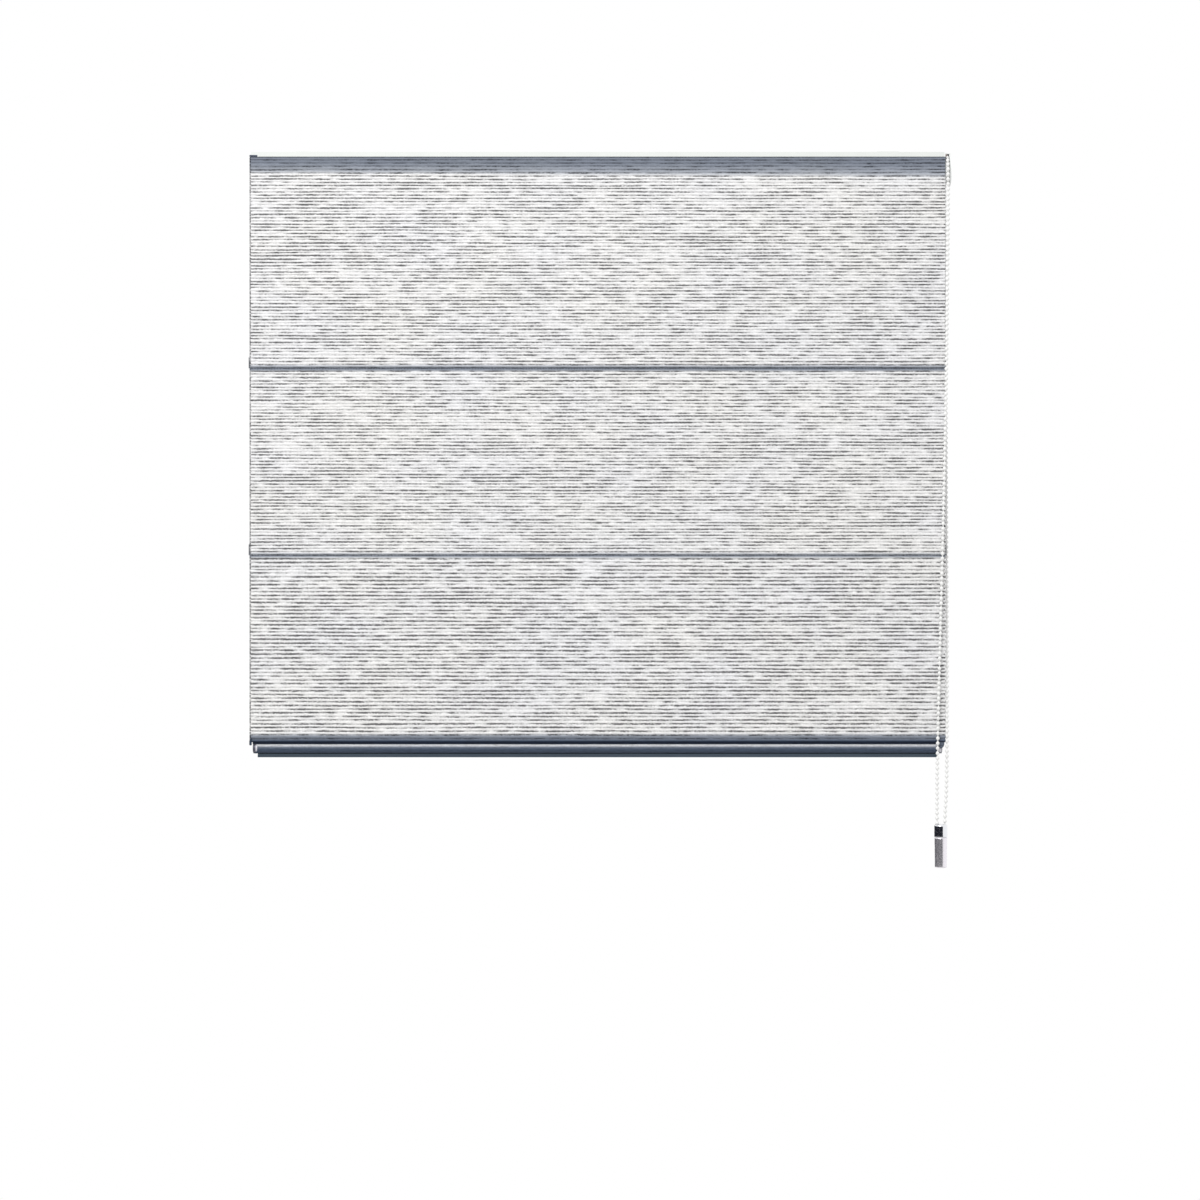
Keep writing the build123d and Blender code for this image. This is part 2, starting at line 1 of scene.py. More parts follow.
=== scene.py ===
import math
import bmesh
import bpy
import numpy as np
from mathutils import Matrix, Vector


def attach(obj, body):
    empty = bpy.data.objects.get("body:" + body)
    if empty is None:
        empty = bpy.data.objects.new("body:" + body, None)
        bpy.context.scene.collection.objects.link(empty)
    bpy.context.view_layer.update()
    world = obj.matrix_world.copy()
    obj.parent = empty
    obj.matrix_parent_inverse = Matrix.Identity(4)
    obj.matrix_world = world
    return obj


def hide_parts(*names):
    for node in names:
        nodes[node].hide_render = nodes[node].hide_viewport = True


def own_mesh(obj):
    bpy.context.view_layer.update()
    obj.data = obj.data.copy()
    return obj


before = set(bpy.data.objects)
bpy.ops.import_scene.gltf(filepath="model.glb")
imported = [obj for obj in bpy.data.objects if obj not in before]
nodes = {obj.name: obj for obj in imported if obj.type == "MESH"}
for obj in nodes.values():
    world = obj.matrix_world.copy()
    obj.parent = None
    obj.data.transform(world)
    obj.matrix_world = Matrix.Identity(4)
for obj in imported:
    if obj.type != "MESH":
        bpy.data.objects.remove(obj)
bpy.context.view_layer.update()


# Brackets: two bent steel plates, powder coated white and screwed to the wall.
# Their hooks hold the headrail by its open top.
def finish_of(name, colour, roughness, metallic=0.0):
    """A new material with one shader, and its node tree, shader and texture coordinates."""
    material = bpy.data.materials.new(name)
    material.use_nodes = True
    tree = material.node_tree
    shader = tree.nodes["Principled BSDF"]
    shader.inputs["Base Color"].default_value = (*colour, 1.0)
    shader.inputs["Roughness"].default_value = roughness
    shader.inputs["Metallic"].default_value = metallic
    return material, tree, shader, tree.nodes.new("ShaderNodeTexCoord")


def noise_in(tree, place, scale, detail=2.0, roughness=0.5, stretch=(1, 1, 1)):
    """Noise over the object, drawn out or packed tight along each axis."""
    mapping = tree.nodes.new("ShaderNodeMapping")
    mapping.inputs["Scale"].default_value = stretch
    tree.links.new(place.outputs["Object"], mapping.inputs["Vector"])
    noise = tree.nodes.new("ShaderNodeTexNoise")
    noise.inputs["Scale"].default_value = scale
    noise.inputs["Detail"].default_value = detail
    noise.inputs["Roughness"].default_value = roughness
    tree.links.new(mapping.outputs["Vector"], noise.inputs["Vector"])
    return noise.outputs["Fac"]


def ranged(tree, value, low, high, to_low, to_high):
    """The value, taken from one range to another and held at its ends."""
    node = tree.nodes.new("ShaderNodeMapRange")
    node.inputs["From Min"].default_value = low
    node.inputs["From Max"].default_value = high
    node.inputs["To Min"].default_value = to_low
    node.inputs["To Max"].default_value = to_high
    tree.links.new(value, node.inputs["Value"])
    return node.outputs["Result"]


def mixed(tree, factor, first, second, blend="MIX"):
    """Two colours by a factor; each is three numbers or a socket."""
    node = tree.nodes.new("ShaderNodeMix")
    node.data_type = "RGBA"
    node.blend_type = blend
    for place, value in ((0, factor), (6, first), (7, second)):
        if isinstance(value, tuple):
            node.inputs[place].default_value = (*value, 1.0)
        elif isinstance(value, float):
            node.inputs[place].default_value = value
        else:
            tree.links.new(value, node.inputs[place])
    return node.outputs[2]


def bumped(tree, shader, height, distance):
    """Raises the surface by the height, as far as the distance."""
    bump = tree.nodes.new("ShaderNodeBump")
    bump.inputs["Distance"].default_value = distance
    bump.inputs["Strength"].default_value = 1.0
    tree.links.new(height, bump.inputs["Height"])
    tree.links.new(bump.outputs["Normal"], shader.inputs["Normal"])


def grained(name, colour, roughness, grain, depth, metallic=0.0, stretch=(1, 1, 1), spread=0.1):
    """A finish with a fine grain, drawn out along an axis for rolled or brushed metal."""
    material, tree, shader, place = finish_of(name, colour, roughness, metallic)
    fine = noise_in(tree, place, grain, 3.0, 0.6, stretch)
    broad = noise_in(tree, place, grain / 22, 2.0, 0.5, stretch)
    worn = tuple(channel * (1 - spread) for channel in colour)
    tone = mixed(tree, ranged(tree, broad, 0.35, 0.65, 0.0, 1.0), worn, colour)
    speck = mixed(tree, ranged(tree, fine, 0.3, 0.55, spread, 0.0), tone, worn)
    tree.links.new(speck, shader.inputs["Base Color"])
    gloss = ranged(tree, fine, 0.3, 0.7, roughness + 0.08, roughness - 0.08)
    tree.links.new(gloss, shader.inputs["Roughness"])
    bumped(tree, shader, fine, depth)
    return material


def finished(material, *names):
    """Gives the solids of these names their finish."""
    for name in names:
        for material_slot in nodes[name].material_slots:
            material_slot.material = material


bracket_paint = grained("bracket_paint", (0.80, 0.81, 0.80), 0.42, 900, 0.00006)
finished(bracket_paint, "bracket_left", "bracket_right")


# Headrail: an extruded aluminium channel in white stoved paint, with a nose over the cloth's edge.
# It hangs on the bracket hooks and carries all the rest.
rail_paint = grained("rail_paint", (0.765, 0.79, 0.765), 0.36, 1100, 0.00003, spread=0.03)
finished(rail_paint, "headrail")


# Hook strip and loop strip: woven nylon tape, one glued to the rail and one sewn to the cloth.
# Hooks and loops stand up as a fine pile.
def pile_finish(name, colour, grain, depth):
    """Pale at the tip of each tuft, and darker between the tufts where painted shade falls."""
    material, tree, shader, place = finish_of(name, colour, 0.85)
    pile = tree.nodes.new("ShaderNodeTexVoronoi")
    pile.inputs["Scale"].default_value = grain
    tree.links.new(place.outputs["Object"], pile.inputs["Vector"])
    tuft = pile.outputs["Distance"]
    shade_between_tufts = tuple(channel * 0.55 for channel in colour)
    tone = mixed(tree, ranged(tree, tuft, 0.15, 0.7, 0.0, 1.0), colour, shade_between_tufts)
    tree.links.new(tone, shader.inputs["Base Color"])
    bumped(tree, shader, tuft, depth)
    shader.inputs["Sheen Weight"].default_value = 0.25
    return material


finished(pile_finish("hook_pile", (0.62, 0.63, 0.64), 1400, -0.0006), "hook_strip")
finished(pile_finish("loop_pile", (0.74, 0.74, 0.73), 900, -0.0004), "loop_strip")


# End cap, control base and cover: moulded white plastic, pushed into the rail's ends.
# The cap's tab under the nose is slate, and a small brown pin locks the control's cover.
mould_grain = 1600
mould_depth = 0.00004
nose_under = 0.0084
tab_front = -0.0354


def moulding_finish(name, colour, roughness=0.4):
    """Moulded plastic with the fine texture of its mould."""
    return grained(name, colour, roughness, mould_grain, mould_depth, spread=0.05)


def combined(tree, operation, first, second, held=False):
    """Two values added or multiplied, and held between 0 and 1 if asked."""
    node = tree.nodes.new("ShaderNodeMath")
    node.operation = operation
    node.use_clamp = held
    tree.links.new(first, node.inputs[0])
    tree.links.new(second, node.inputs[1])
    return node.outputs["Value"]


def darkened_moulding(name, colour, roughness, tones, dark_part, limits):
    """Moulded plastic, dark past all the limits: each is an axis, where it starts and where it is full."""
    material, tree, shader, place = finish_of(name, colour, roughness)
    axes = tree.nodes.new("ShaderNodeSeparateXYZ")
    tree.links.new(place.outputs["Object"], axes.inputs["Vector"])
    share, *others = [
        ranged(tree, axes.outputs[axis], start, full, 0.0, 1.0) for axis, start, full in limits
    ]
    for other in others:
        share = combined(tree, "MULTIPLY", share, other)
    grain = noise_in(tree, place, mould_grain, 3.0)
    tone = mixed(tree, ranged(tree, grain, 0.3, 0.6, 0.0, 1.0), *tones)
    tree.links.new(mixed(tree, share, tone, dark_part), shader.inputs["Base Color"])
    bumped(tree, shader, grain, mould_depth)
    return material


def solid_mesh(name, points, faces):
    """A mesh from points and faces, with its faces turned outwards."""
    mesh = bpy.data.meshes.new(name)
    mesh.from_pydata([tuple(p) for p in points], [], [tuple(f) for f in faces])
    mesh.validate()
    tool = bmesh.new()
    tool.from_mesh(mesh)
    bmesh.ops.recalc_face_normals(tool, faces=tool.faces)
    tool.to_mesh(mesh)
    tool.free()
    return mesh


def placed(name, data):
    """An object in the scene, at the origin."""
    thing = bpy.data.objects.new(name, data)
    bpy.context.scene.collection.objects.link(thing)
    return thing


def made(name, points, faces, material, slot, body):
    """A piece from its points and faces, with its finish, riding on a body."""
    mesh = solid_mesh(name, points, faces)
    mesh.materials.append(material)
    mesh.polygons.foreach_set("use_smooth", [True] * len(mesh.polygons))
    piece = placed(name, mesh)
    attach(piece, body)
    return piece


def banded(rows, around, closed=False):
    """Faces between rings of points, each ring joined to the next, and the last to the first if closed."""
    return [
        (
            row * around + spot,
            row * around + (spot + 1) % around,
            (row + 1) % rows * around + (spot + 1) % around,
            (row + 1) % rows * around + spot,
        )
        for row in range(rows if closed else rows - 1)
        for spot in range(around)
    ]


def tubed(rows, around):
    """Faces of a tube with a flat face at each end."""
    last = (rows - 1) * around
    return banded(rows, around) + [tuple(range(around))[::-1], tuple(range(last, last + around))]


def shifted(faces, first):
    """The faces, counted from the first point of their own piece."""
    return [tuple(first + i for i in face) for face in faces]


def turned(profile, sides, middle, across=(1, 0, 0), up=(0, 1, 0), along=(0, 0, 1)):
    """Points and faces of a lathe form: a radius at each height, about a middle."""
    angles = np.arange(sides) * 2 * math.pi / sides
    across, up, along = (np.array(v, float) for v in (across, up, along))
    points = [
        np.array(middle) + radius * (math.cos(a) * across + math.sin(a) * up) + height * along
        for radius, height in profile
        for a in angles
    ]
    return points, tubed(len(profile), sides)


moulding_white = (0.86, 0.875, 0.865)
finished(moulding_finish("moulding", moulding_white), "control_base", "control_cover")
cap_moulding = darkened_moulding(
    "cap_moulding", moulding_white, 0.4, ((0.8, 0.82, 0.81), (0.87, 0.885, 0.875)), (0.035, 0.048, 0.08),
    (("Y", tab_front, tab_front - 0.0004), ("Z", nose_under, nose_under - 0.0003)),
)
finished(cap_moulding, "end_cap")

pin_brown = moulding_finish("pin_brown", (0.36, 0.27, 0.24), 0.5)
pin_place = (0.41975, -0.0294, 0.0085)
pin_profile = (
    (0.0006, 0.0), (0.0016, 0.0002), (0.0019, 0.0009), (0.0019, 0.0016), (0.0012, 0.0022), (0.0004, 0.0023),
)
pin = turned(pin_profile, 4, pin_place, (1, 0, 0), (0, 0, 1), (0, -1, 0))
made("cover_lock_pin", *pin, pin_brown, "moulding", "mounted")


# Chain wheel, shaft and bush: a moulded wheel with a pocket for each bead, a drawn square rod
# of zinc plated steel, and a nylon bush that turns in the end cap.
finished(moulding_finish("wheel_moulding", (0.82, 0.83, 0.82), 0.34), "chain_wheel")
finished(moulding_finish("bush_moulding", (0.55, 0.56, 0.57), 0.3), "shaft_bush")
shaft_steel = grained(
    "shaft_steel", (0.56, 0.57, 0.58), 0.34, 1500, 0.00002, 0.95, (0.04, 1, 1), 0.15
)
finished(shaft_steel, "drive_shaft")


# Drums, cradles and grommets: moulded nylon. The drums turn with the shaft in the cradles' seats,
# and the cords leave the rail through the grommets.
finished(moulding_finish("drum_moulding", (0.78, 0.79, 0.78), 0.32), "cord_drums")
finished(moulding_finish("cradle_moulding", (0.7, 0.71, 0.72), 0.44), "drum_cradle_1", "drum_cradle_2")
finished(moulding_finish("grommet_moulding", (0.84, 0.85, 0.84), 0.3), "cord_grommets")


# Cloth: three sections of one white and grey slub cloth, woven with thick ribs across the blind.
# The loop strip, the batten seams and the hem hold it. Where rail, battens and bar back the cloth
# a slate painted shade darkens it, in a band that grows to the right under the rail, and its left edge is
# drawn darker.
half_width = 0.4185
cloth_back = -0.0352
groove_y = -0.0362
rib_relief = 0.0008
rib_rows = 6
cloth_columns = 196
turned_in = 0.0007
turned_height = 0.0022
# The band of painted shade under the rail reaches deeper towards the right.
shade_band_foot = -0.03
shade_band_growth = 0.26
# Colours of the painted slate shade, and of the deeper painted shade at the hem.
painted_shade_slate = np.array([0.205, 0.232, 0.285])
painted_deep_shade = np.array([0.14, 0.20, 0.30])


def weave_finish(name, crest, groove_tone_and_shade, patches):
    """White crests and grey grooves, their grey partly the yarn's and partly painted shade, broken by slubs
    and knots, in faint warm and cool patches.
    """
    material, tree, shader, place = finish_of(name, crest, 0.92)
    shader.inputs["Sheen Weight"].default_value = 0.12
    shader.inputs["Specular IOR Level"].default_value = 0.25
    furrow = tree.nodes.new("ShaderNodeAttribute")
    furrow.attribute_name = "groove_tone_and_shade"
    painted_shade_colour = tree.nodes.new("ShaderNodeAttribute")
    painted_shade_colour.attribute_name = "painted_shade_colour"
    slub = noise_in(tree, place, 900, 4.0, 0.65, (0.12, 1, 1))
    dash = noise_in(tree, place, 400, 5.0, 0.72, (0.42, 1, 1))
    knot = noise_in(tree, place, 420, 3.0, 0.6, (1, 0.6, 1.5))
    warp = noise_in(tree, place, 850, 2.0, 0.6, (1, 1, 0.12))
    patch = noise_in(tree, place, 9, 2.0, 0.5, (1, 1, 1.6))
    dashed = ranged(tree, dash, 0.34, 0.64, 0.5, 1.85)
    knotted = ranged(tree, knot, 0.32, 0.68, 0.4, 1.6)
    depth = combined(tree, "MULTIPLY", furrow.outputs["Fac"], dashed)
    depth = combined(tree, "MULTIPLY", depth, knotted)
    depth = combined(tree, "ADD", depth, ranged(tree, slub, 0.34, 0.66, -0.14, 0.24), held=True)
    ribbed = mixed(tree, depth, crest, groove_tone_and_shade)
    hued = mixed(tree, ranged(tree, patch, 0.35, 0.65, 0.0, 1.0), *patches)
    aged = mixed(tree, 1.0, ribbed, hued, "MULTIPLY")
    ends = mixed(tree, ranged(tree, warp, 0.35, 0.62, 0.15, 0.0), aged, (0.45, 0.45, 0.47))
    # The cloth's colour is multiplied by the painted slate shade that each point carries.
    shaded = mixed(tree, 1.0, ends, painted_shade_colour.outputs["Color"], "MULTIPLY")
    tree.links.new(shaded, shader.inputs["Base Color"])
    bumped(tree, shader, slub, 0.00035)
    return material


weave = weave_finish(
    "slub_weave", (0.975, 0.974, 0.975), (0.115, 0.114, 0.118),
    ((1.0, 0.992, 0.978), (0.975, 0.975, 0.988)),
)


def drifting(rng, rows, columns, width):
    """Random values along each row, smooth over some columns, with a spread of one."""
    reach = int(3 * width)
    bell = np.exp(-0.5 * (np.arange(-reach, reach + 1) / width) ** 2)
    values = rng.standard_normal((rows, columns + 2 * reach))
    values = np.array([np.convolve(row, bell, "valid") for row in values])
    return values / values.std()


def set_groove_and_painted_shade(piece, groove_tone_and_shade, shade):
    """Sets how dark each point's groove is, partly painted shade, and how much painted slate shade it has."""
    mesh = piece.data
    grooves = mesh.attributes.new("groove_tone_and_shade", "FLOAT", "POINT")
    grooves.data.foreach_set("value", groove_tone_and_shade.astype(np.float32))
    colour = np.ones((len(shade), 4), np.float32)
    pale, deep = np.minimum(shade, 1)[:, None], np.maximum(shade - 1, 0)[:, None]
    colour[:, :3] = painted_shade_slate ** pale * painted_deep_shade ** deep
    painted_shade_colours = mesh.color_attributes.new(name="painted_shade_colour", type="FLOAT_COLOR", domain="POINT")
    painted_shade_colours.data.foreach_set("color", colour.ravel())


def cloth_section(name, body, top, length, ribs, seed, density, stops):
    """One closed section: ribbed in front, lightly ribbed behind, with turned top and bottom edges."""
    rng = np.random.default_rng(seed)
    x = np.concatenate(
        (
            [-half_width, -half_width + 0.0016, -half_width + 0.0019],
            np.linspace(-half_width + 0.004, half_width - 0.004, cloth_columns),
            [half_width - 0.0012, half_width],
        )
    )
    columns = len(x)
    darkness = density + 0.36 * drifting(rng, ribs + 1, columns, 1.0)
    darkness = np.clip(darkness + 0.16 * drifting(rng, ribs + 1, columns, 10), 0.26, 1.3)
    wobble = 0.00028 * drifting(rng, ribs + 1, columns, 7)
    wobble[0] = wobble[-1] = 0
    phase = np.arange(ribs * rib_rows + 1) / rib_rows
    above = np.minimum(phase.astype(int), ribs - 1)
    share = (phase - above)[:, None]
    nearest = np.rint(phase).astype(int)
    crest = np.abs(np.sin(math.pi * phase))[:, None]
    z = top - phase[:, None] * length / ribs + wobble[above] * (1 - share) + wobble[above + 1] * share
    y = groove_y - rib_relief * crest * (0.8 + 0.2 * darkness[above])
    y = y + 0.0003 * (1 - crest) * darkness[nearest]
    edge = np.minimum(top - z, z - top + length)
    y = y + turned_in * (1 - np.clip(edge / turned_height, 0, 1)) ** 2
    rows = len(phase)
    front = np.stack((np.broadcast_to(x, z.shape), y, z), axis=-1).reshape(-1, 3)
    back_y = np.repeat(cloth_back - 0.00025 * (1 - crest[:, 0]), 2)
    back_z = np.repeat(top - phase * length / ribs, 2)
    back = np.stack((np.tile([-half_width, half_width], rows), back_y, back_z), axis=-1)
    points = np.concatenate((front, back))

    corner = (np.arange(rows - 1)[:, None] * columns + np.arange(columns - 1)[None, :]).ravel()
    faces = np.stack((corner, corner + columns, corner + columns + 1, corner + 1), axis=-1).tolist()
    start = rows * columns
    for row in range(rows - 1):
        left, right = start + 2 * row, start + 2 * row + 1
        faces.append((left, right, right + 2, left + 2))
        faces.append((row * columns, left, left + 2, (row + 1) * columns))
        faces.append(((row + 1) * columns - 1, (row + 2) * columns - 1, right + 2, right))
    faces.append((*range(columns), start + 1, start))
    faces.append((*range(start - 1, start - columns - 1, -1), start + 2 * rows - 2, start + 2 * rows - 1))
    piece = made(name, points, faces, weave, "weave", body)

    heights, shades = zip(*stops)
    across = (points[:, 0] + half_width) / (2 * half_width)
    drawn = 1 - shade_band_growth * across * (points[:, 2] > shade_band_foot)
    shade = np.interp(-points[:, 2] * drawn, heights, shades)
    # Grooves drawn darker, partly the yarn's grey and partly painted shade in the hollows, less so under the
    # slate shade.
    furrow = darkness[nearest] * (1 - crest) ** 1.15
    furrow *= 1 - 0.5 * np.clip(shade[:start].reshape(rows, columns), 0, 1)
    # The cloth's left edge is drawn darker.
    furrow[:, :2] = 0.55
    back_furrow = np.repeat(0.6 * (1 - crest[:, 0]), 2)
    set_groove_and_painted_shade(piece, np.concatenate((furrow.ravel(), back_furrow)), shade)
    return piece


cloth_top = 0.0059
seam_1 = -0.2481
seam_2 = -0.4731
hem_line = -0.6981
edge_gap = 0.0003

# Each section ends with its painted slate shade at heights below the rail's line.
sections = (
    (
        "cloth_top_section", "fabric_top", "mounted", "lift_1", cloth_top, 0.254 - edge_gap, 66, 11, 0.75,
        ((0.001, 0.95), (0.0065, 0.7), (0.0105, 0.52), (0.0125, 0.26), (0.0145, 0.0), (0.2436, 0.0),
         (0.2450, 0.25), (0.2462, 0.5), (0.2481, 0.75)),
    ),
    (
        "cloth_middle_section", "fabric_middle", "batten_1", "lift_2", seam_1, 0.225 - edge_gap, 58, 12, 0.72,
        ((0.2484, 0.95), (0.2497, 0.9), (0.2510, 0.4), (0.2524, 0.0), (0.4695, 0.0), (0.4728, 0.52)),
    ),
    (
        "cloth_bottom_section", "fabric_bottom", "batten_2", "lift_3", seam_2, 0.225, 51, 13, 0.84,
        ((0.4731, 0.8), (0.4745, 0.75), (0.4757, 0.25), (0.4768, 0.0), (0.6870, 0.0), (0.6897, 0.4),
         (0.6909, 0.85), (0.6935, 1.0), (0.6955, 1.2), (0.6968, 2.0), (0.6981, 2.5)),
    ),
)
for name, solid, body, joint, hung_from, drop, ribs, seed, density, stops in sections:
    section = cloth_section(name, body, hung_from, drop, ribs, seed, density, stops)
    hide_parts(solid)
    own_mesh(section)


# Seams: the sections are joined and the batten pockets closed by a row of upright thread stitches.
# Each stitch is a short bar of polyester thread that lies on the ribs, drawn slate dark as painted shade of
# the seam's crease.
thread_and_crease_shade = grained("seam_thread_and_shade", (0.11, 0.125, 0.15), 0.7, 2600, 0.00005, spread=0.2)
stitch_y = groove_y - 0.00088
stitch_arch = 0.0001
stitch_rings = ((-0.5, 0.00012), (-0.3, 0.00024), (0.0, 0.0003), (0.3, 0.00024), (0.5, 0.00012))
stitch_outline = ((-1, 0.0), (-0.6, 0.99), (0.6, 0.99), (1, 0.0))


def seam_stitches(name, seam, body, height, pitch, seed):
    """The row of stitches along one seam, no two quite alike in height and lean."""
    rng = np.random.default_rng(seed)
    points, faces = [], []
    for x in np.arange(-half_width + 0.003, half_width - 0.002, pitch):
        lean = rng.normal(0, 0.00012)
        tall = height * rng.uniform(0.7, 1.15)
        faces += shifted(tubed(len(stitch_rings), len(stitch_outline)), len(points))
        for reach, width in stitch_rings:
            front = stitch_y - stitch_arch * (1 - abs(2 * reach))
            points += [
                (x + lean * reach * 2 + side * width, front - out * width, seam + reach * tall)
                for side, out in stitch_outline
            ]
    made(name, points, faces, thread_and_crease_shade, "cord", body)


seam_stitches("seam_stitches_1", seam_1 - 0.0001, "batten_1", 0.0030, 0.0034, 21)
seam_stitches("seam_stitches_2", seam_2 + 0.0001, "batten_2", 0.0020, 0.0041, 22)


# Battens: a flat aluminium bar in a pocket of the same cloth behind each seam, closed by a dark
# moulded tip at each end. The cord eyelets are moulded plates sewn to the pockets.
batten_metal = grained("batten_metal", (0.7, 0.71, 0.72), 0.38, 1400, 0.00002, 0.95, (0.05, 1, 1), 0.12)
finished(batten_metal, "batten_bar_1", "batten_bar_2")
tip_moulding = moulding_finish("tip_moulding", (0.075, 0.085, 0.105), 0.42)
finished(tip_moulding, "batten_tips_1", "batten_tips_2")
finished(moulding_finish("eyelet_moulding", (0.8, 0.81, 0.8), 0.34), "cord_eyelets_1", "cord_eyelets_2")
fold_ribs = 0.004


def sheet_faces(rows, around):
    """Faces of a sheet: round its section from end to end, and from front to back at each end."""
    faces = banded(rows, around)
    for end in (0, (rows - 1) * around):
        far_end = end + around - 1
        faces += [(end + j, end + j + 1, far_end - j - 1, far_end - j) for j in range(around // 2 - 1)]
    return faces


def folded_cloth(name, line, thickness, x, seed, body, skew=None, patches=()):
    """Cloth that follows a line of depths and heights, across the blind at each x."""
    rng = np.random.default_rng(seed)
    line = np.array(line, float)
    ahead = np.gradient(line, axis=0)
    ahead /= np.linalg.norm(ahead, axis=1)[:, None]
    out = np.stack((-ahead[:, 1], ahead[:, 0]), axis=-1)
    far = np.concatenate(([0], np.cumsum(np.linalg.norm(np.diff(line, axis=0), axis=1))))
    crest = np.abs(np.sin(math.pi * far / fold_ribs))
    count = len(line)
    outer = line + out * (thickness / 2) * (0.72 + 0.28 * crest)[:, None]
    inner = line - out * thickness / 2
    loop = np.concatenate((outer, inner[::-1]))
    swing = 0.00012 * drifting(rng, 2 * count, len(x), 6).T
    push = np.concatenate((out, -out[::-1]))
    y = loop[None, :, 0] + swing * push[None, :, 0] * 0.5
    z = loop[None, :, 1] + swing * push[None, :, 1] * 0.5
    across = np.broadcast_to(np.array(x)[:, None], y.shape).copy()
    if skew:
        across += skew(across, y)
    points = np.stack((across, y, z), axis=-1).reshape(-1, 3)
    faces = sheet_faces(len(x), 2 * count)
    # Darker between the ribs, partly painted shade in the hollows.
    dark = np.clip(0.7 + 0.3 * drifting(rng, count, len(x), 3), 0.1, 1.2).T * (1 - crest)[None, :] ** 1.3
    dark = np.concatenate((dark, np.full_like(dark, 0.2)), axis=1).ravel()
    for patch_points, patch_faces in patches:
        faces += shifted(patch_faces, len(points))
        points = np.concatenate((points, patch_points))
        dark = np.concatenate((dark, np.full(len(patch_points), 0.3)))
    piece = made(name, points, faces, weave, "weave", body)
    return piece, dark, points


pocket_y = (-0.0349, -0.0322)
pocket_height = 0.0072
pocket_cloth = 0.0005
pocket_bend = 0.0006
across_cloth = np.linspace(-half_width, half_width, 150)
for number, seam in ((1, seam_1), (2, seam_2)):
    near, wall_side = pocket_y[0] + pocket_cloth / 2, pocket_y[1] - pocket_cloth / 2
    low, high = seam + pocket_cloth / 2, seam + pocket_height - pocket_cloth / 2
    rounded = [(near, low + 0.003)]
    for middle_y, middle_z, first_angle in (
        (near + pocket_bend, low + pocket_bend, 180),
        (wall_side - pocket_bend, low + pocket_bend, 270),
        (wall_side - pocket_bend, high - pocket_bend, 0),
        (near + pocket_bend, high - pocket_bend, 90),
    ):
        for turn in (0, 30, 60, 90):
            angle = math.radians(first_angle + turn)
            bend_y, bend_z = pocket_bend * math.cos(angle), pocket_bend * math.sin(angle)
            rounded.append((middle_y + bend_y, middle_z + bend_z))
    rounded += [(near, high - 0.003), (near, low + 0.0033)]
    pocket, dark, points = folded_cloth(
        f"batten_pocket_cloth_{number}", rounded, pocket_cloth, across_cloth, 30 + number, f"batten_{number}"
    )
    # An even light painted slate shade on the pocket cloth.
    set_groove_and_painted_shade(pocket, dark, np.full(len(points), 0.25))
    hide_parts(f"batten_pocket_{number}")


# Bottom hem: the cloth's end, a flange sewn behind the last section and a roll round the bottom bar.
# Painted shade leaves the roll light on top and slate in front, its ends are cut at a slant that shows
# the plugs, and the flange's foot and its corners turned to the front are dark with painted shade.
hem_middle = (-0.0295, -0.7054)
hem_cloth = 0.0009
hem_half = (0.0072 - hem_cloth / 2, 0.0066 - hem_cloth / 2)
hem_length = 0.83
hem_x = np.linspace(-hem_length / 2, hem_length / 2, 170)
slant = 0.0058
slant_start = 0.395
roll = [
    (hem_middle[0] + hem_half[0] * math.cos(a), hem_middle[1] + hem_half[1] * math.sin(a))
    for a in np.radians(np.linspace(-75.5, 255.5, 40))
]


def slanted(x, y):
    """The slant of each end: the front of the roll stops short of the plug."""
    forward = np.clip((hem_middle[0] - y) / 0.006, 0, 1)
    return -slant * np.sign(x) * forward * np.clip((np.abs(x) - slant_start) / 0.02, 0, 1)


hem, dark, points = folded_cloth("bottom_hem_cloth", roll, hem_cloth, hem_x, 41, "bottom", slanted)
# Painted shade on the roll: a dark line along its top edge, little on top, slate down its front.
hem_heights, hem_shades = zip(
    (0.6990, 2.3), (0.6998, 1.5), (0.7008, 0.2), (0.7024, 0.2), (0.7043, 1.1), (0.7070, 1.62)
)
set_groove_and_painted_shade(hem, 0.6 * dark, np.interp(-points[:, 2], hem_heights, hem_shades))
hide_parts("bottom_hem")

corner_rows = 16
corner_columns = 8
corner_cloth = 0.0006
corner_ribs = 0.0044


def hem_corner(edges, front):
    """A turned corner of the cloth in front of the roll: its left and right edge at each height."""
    heights, left, right = np.array(edges).T
    z = np.linspace(heights[0], heights[-1], corner_rows)
    left, right = np.interp(-z, -heights, left), np.interp(-z, -heights, right)
    share = np.linspace(0, 1, corner_columns)
    x = left[:, None] * (1 - share) + right[:, None] * share
    z = np.broadcast_to(z[:, None], x.shape)
    crest = np.abs(np.sin(math.pi * (z - hem_line) / corner_ribs))
    y = front + 0.0002 * (1 - crest) + 0.00015 * np.abs(2 * share - 1) ** 3
    face_side = np.stack((x, y, z), axis=-1)
    wall_side = np.stack((x, np.full_like(x, front + corner_cloth), z), axis=-1)[:, ::-1]
    points = np.concatenate((face_side, wall_side), axis=1).reshape(-1, 3)
    return points, sheet_faces(corner_rows, 2 * corner_columns)


